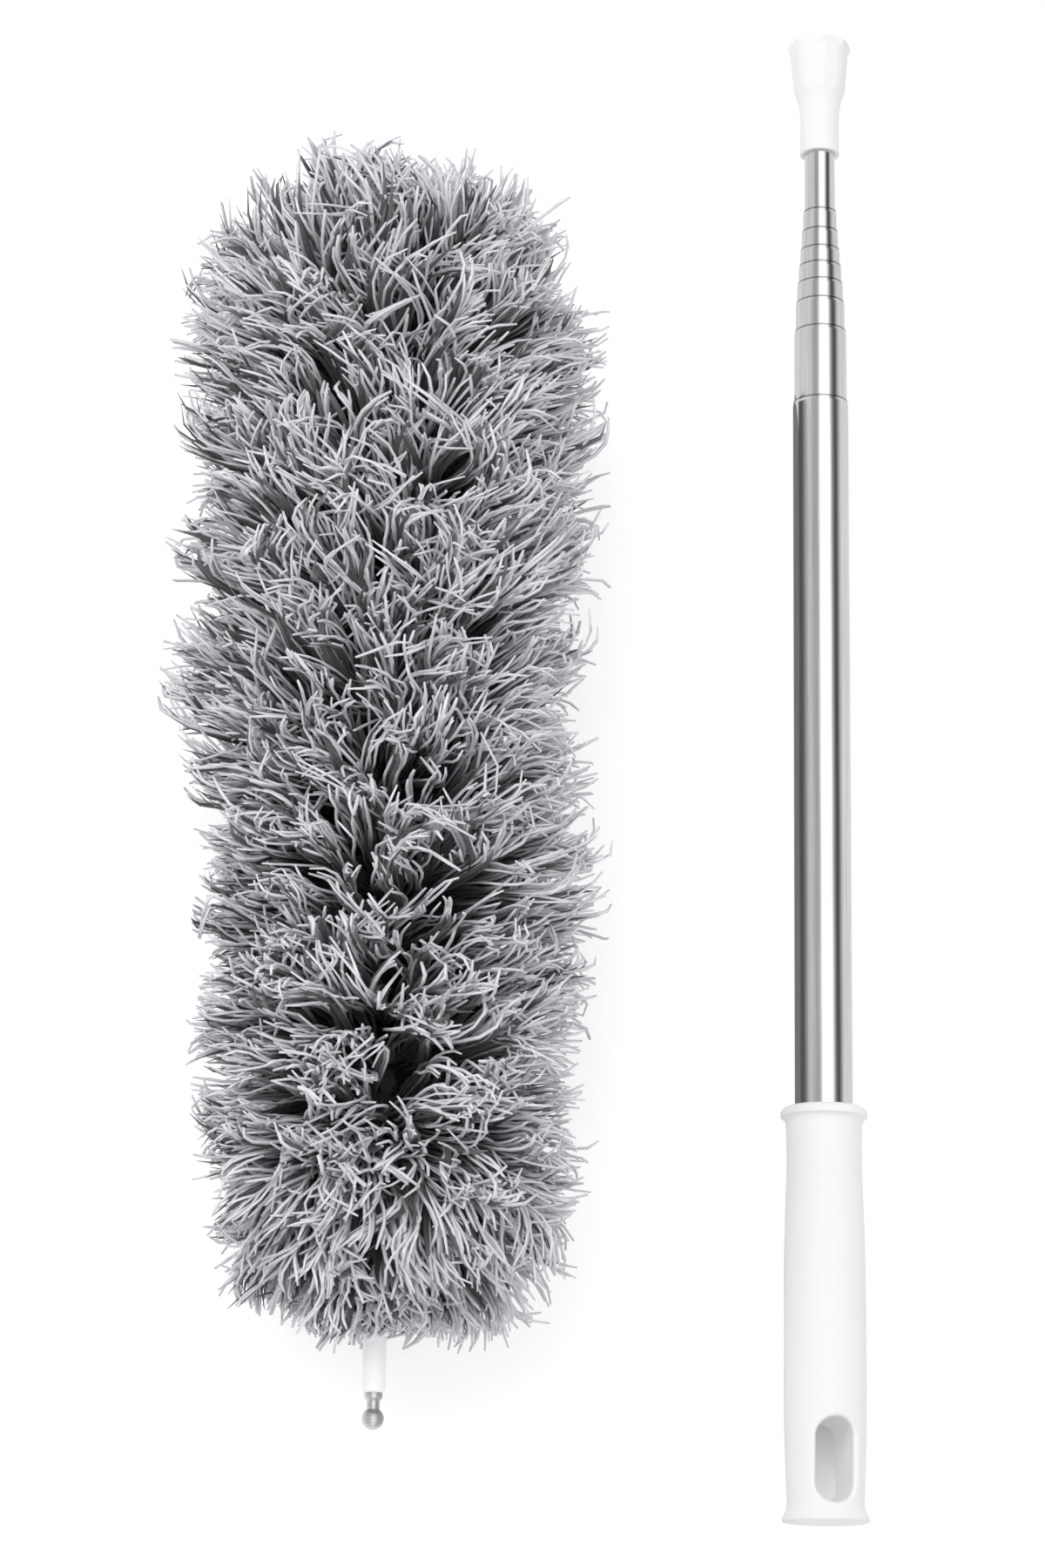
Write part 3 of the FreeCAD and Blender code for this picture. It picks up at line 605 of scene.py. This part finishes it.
def flat_sheet(name, low_x, high_x, low_y, high_y, height, material):
    """A flat stage piece."""
    mesh = bpy.data.meshes.new(name)
    corners = [(low_x, low_y, height), (high_x, low_y, height),
               (high_x, high_y, height), (low_x, high_y, height)]
    mesh.from_pydata(corners, [], [(0, 1, 2, 3)])
    mesh.materials.append(material)
    thing = bpy.data.objects.new(name, mesh)
    scene.collection.objects.link(thing)
    return thing


grip_low, grip_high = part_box("handle_grip")
POLE = (grip_low + grip_high) / 2
BUTT = grip_low.y
TABLE_HALF = 8.0
TABLE_LIGHT = 0.64
# Half the width of the shade under the handle, and its length from the butt.
SHADE_WIDTH, SHADE_LENGTH = 14 * MM, 44 * MM


def table():
    """A white table lit a little from within, so that shadows on it stay faint.

    It is lit less under the handle, where it shows through the hang slot.
    """
    paint = Nodes("table_paint", (0.48, 0.48, 0.48), Roughness=0.9, Specular_IOR_Level=0.0)
    paint.shader.inputs["Emission Color"].default_value = (1, 1, 1, 1)
    mottle = paint.ramp(paint.noise(5.0, 2.0), (0.3, 0.475), (0.7, 0.485))
    paint.to("Base Color", mottle)
    split = paint.node("SeparateXYZ")
    paint.link(paint.place, split.inputs[0])
    aside = paint.maths("ABSOLUTE", paint.maths("SUBTRACT", split.outputs["X"], POLE.x))
    beneath = paint.ramp(paint.maths("MULTIPLY", aside, 1 / SHADE_WIDTH), (0.55, 1.0), (1.0, 0.0))
    from_butt = paint.maths("SUBTRACT", split.outputs["Y"], BUTT)
    along = paint.ramp(paint.maths("MULTIPLY", from_butt, 1 / SHADE_LENGTH), (0.02, 0.0), (0.10, 0.30),
                       (0.45, 0.55), (0.75, 0.75), (0.90, 0.75), (1.0, 0.0))
    shade = paint.maths("MULTIPLY", paint.maths("MULTIPLY", beneath, along), TABLE_LIGHT)
    paint.to("Emission Strength", paint.maths("SUBTRACT", TABLE_LIGHT, shade))
    flat_sheet("table", -TABLE_HALF, TABLE_HALF, -TABLE_HALF, TABLE_HALF, 0, paint.material)


def only_in_steel(thing):
    """A stage piece that shows in polished steel alone."""
    thing.visible_camera = False
    thing.visible_diffuse = False
    thing.visible_shadow = False
    thing.visible_transmission = False


# The cards' two ends, and where the dark ones stop: at the outer tube's top, as the steel shows it.
CARD_NEAR, CARD_FAR = -0.4, 2.4
FLOOR_CARD_END, STANDING_CARD_END = 0.132, 0.144
# The standing card's place across the table and its height, and the floor cards' other edges.
CARD_PLACE, CARD_HEIGHT = 0.040, 0.075
LEFT_CARD_EDGE, RIGHT_CARD_EDGE, RIGHT_CARD_FAR = 0.089, 0.118, 0.60
# Brightness of the graded card from its foot to its top.
CARD_GRADES = (
    (0.0, 0.13), (0.12, 0.10), (0.26, 0.10), (0.38, 0.20), (0.54, 0.44), (0.72, 0.70), (1.0, 0.66),
)
PALE_GRADES = ((0.0, 0.78), (0.25, 0.80), (0.6, 0.82), (1.0, 0.74))


def floor_card(name, low_x, high_x, low_y, high_y, shade):
    """A painted card that lies on the table."""
    card = Nodes(name + "_paint", (shade, shade, shade), Roughness=0.9)
    card.to("Base Color", card.ramp(card.noise(20.0), (0.3, shade * 0.9), (0.7, shade)))
    only_in_steel(flat_sheet(name, low_x, high_x, low_y, high_y, 0.3 * MM, card.material))


def standing_card(name, low_y, high_y, grades):
    """An upright card, graded in brightness from its foot to its top."""
    mesh = bpy.data.meshes.new(name)
    corners = [(CARD_PLACE, low_y, 0), (CARD_PLACE, high_y, 0),
               (CARD_PLACE, high_y, CARD_HEIGHT), (CARD_PLACE, low_y, CARD_HEIGHT)]
    mesh.from_pydata(corners, [], [(0, 1, 2, 3)])
    card = Nodes(name + "_paint", (0, 0, 0), Roughness=0.9, Emission_Strength=1.0)
    split = card.node("SeparateXYZ")
    card.link(card.place, split.inputs[0])
    level = card.maths("MULTIPLY", split.outputs["Z"], 1 / CARD_HEIGHT)
    card.to("Emission Color", card.ramp(level, *grades))
    mesh.materials.append(card.material)
    thing = bpy.data.objects.new(name, mesh)
    scene.collection.objects.link(thing)
    only_in_steel(thing)


def cards():
    """Cards on the table on both sides of the pole, and one that stands between head and pole."""
    floor_card("grey_card", RIGHT_CARD_EDGE, RIGHT_CARD_FAR, CARD_NEAR, CARD_FAR, 0.78)
    floor_card("dark_card", CARD_PLACE, LEFT_CARD_EDGE, CARD_NEAR, FLOOR_CARD_END, 0.22)
    floor_card("pale_card", CARD_PLACE, LEFT_CARD_EDGE, FLOOR_CARD_END, CARD_FAR, 0.86)
    standing_card("graded_card", CARD_NEAR, STANDING_CARD_END, CARD_GRADES)
    standing_card("pale_standing_card", STANDING_CARD_END, CARD_FAR, PALE_GRADES)


def soft_light(name, place, side, power):
    """A square lamp that looks at the middle of the table and doesn't show in gloss."""
    lamp = bpy.data.lights.new(name, "AREA")
    lamp.shape = "SQUARE"
    lamp.size = side
    lamp.energy = power
    thing = bpy.data.objects.new(name, lamp)
    thing.location = place
    thing.rotation_euler = (-Vector(place)).to_track_quat("-Z", "Y").to_euler()
    thing.visible_glossy = False
    scene.collection.objects.link(thing)


# What the polished steel sees above it: angle from straight up towards +X in degrees, brightness.
STEEL_SKY = (
    (-180, 0.60), (-112, 0.30), (-98, 0.20), (-88, 0.34), (-76, 0.66), (-62, 0.74), (-50, 0.68),
    (-38, 0.55), (-28, 0.46), (-19, 0.52), (-12, 1.00), (-5, 1.70), (27, 1.70), (35, 1.00),
    (43, 0.36), (53, 0.10), (61, 0.10), (69, 0.30), (79, 0.68), (92, 0.86), (180, 0.60),
)
SKY_SCALE = 2.0


def studio_world():
    """A bright plain studio. Polished metal sees dark screens beside an overhead light."""
    world = bpy.data.worlds.new("studio")
    world.use_nodes = True
    tree = world.node_tree
    scene.world = world

    def node(kind, **settings):
        made = tree.nodes.new("ShaderNode" + kind)
        for name, setting in settings.items():
            setattr(made, name, setting)
        return made

    background = tree.nodes["Background"]
    split = node("SeparateXYZ")
    tree.links.new(node("TexCoord").outputs["Generated"], split.inputs[0])
    angle = node("Math", operation="ARCTAN2")
    tree.links.new(split.outputs["X"], angle.inputs[0])
    tree.links.new(split.outputs["Z"], angle.inputs[1])
    share = node("MapRange")
    share.inputs["From Min"].default_value = -math.pi
    share.inputs["From Max"].default_value = math.pi
    tree.links.new(angle.outputs[0], share.inputs["Value"])
    ramp = node("ValToRGB")
    elements = ramp.color_ramp.elements
    while len(elements) < len(STEEL_SKY):
        elements.new(0.5)
    for element, (degrees, level) in zip(elements, STEEL_SKY):
        element.position = (degrees + 180) / 360
        level /= SKY_SCALE
        element.color = (level, level * 0.975, level, 1)
    tree.links.new(share.outputs["Result"], ramp.inputs["Fac"])
    scaled = node("VectorMath", operation="SCALE")
    scaled.inputs["Scale"].default_value = SKY_SCALE
    tree.links.new(ramp.outputs["Color"], scaled.inputs[0])
    height = node("ValToRGB")
    for element, (position, level) in zip(height.color_ramp.elements, ((0.0, 0.36), (0.85, 0.74))):
        element.position = position
        element.color = (level, level * 0.99, level, 1)
    tree.links.new(split.outputs["Z"], height.inputs["Fac"])
    mix = node("Mix", data_type="RGBA")
    tree.links.new(node("LightPath").outputs["Is Glossy Ray"], mix.inputs[0])
    tree.links.new(height.outputs["Color"], mix.inputs[6])
    tree.links.new(scaled.outputs[0], mix.inputs[7])
    tree.links.new(mix.outputs[2], background.inputs["Color"])
    background.inputs["Strength"].default_value = 1.0


def camera():
    """Looks down at the table from 15 degrees off vertical, 1.35 m away, turned 0.9 degrees."""
    distance, tilt, roll = 1.35, math.radians(15), math.radians(0.9)
    aim = Vector((-1.975 * MM, -10.5 * MM, 0))
    lens = bpy.data.cameras.new("camera")
    lens.sensor_fit = "VERTICAL"
    lens.sensor_height = 36
    lens.lens = 91.0
    lens.clip_end = 20
    thing = bpy.data.objects.new("camera", lens)
    thing.location = aim + Vector((0, -math.sin(tilt), math.cos(tilt))) * distance
    turned = Matrix.Rotation(tilt, 3, "X") @ Matrix.Rotation(roll, 3, "Z")
    thing.rotation_euler = turned.to_euler()
    scene.collection.objects.link(thing)
    scene.camera = thing


make_pile()
table()
cards()
soft_light("key", (-0.5, 0.5, 1.8), 1.4, 18)
soft_light("fill", (0.9, -0.6, 1.4), 1.0, 4)
studio_world()
camera()
scene.view_settings.view_transform = "Standard"
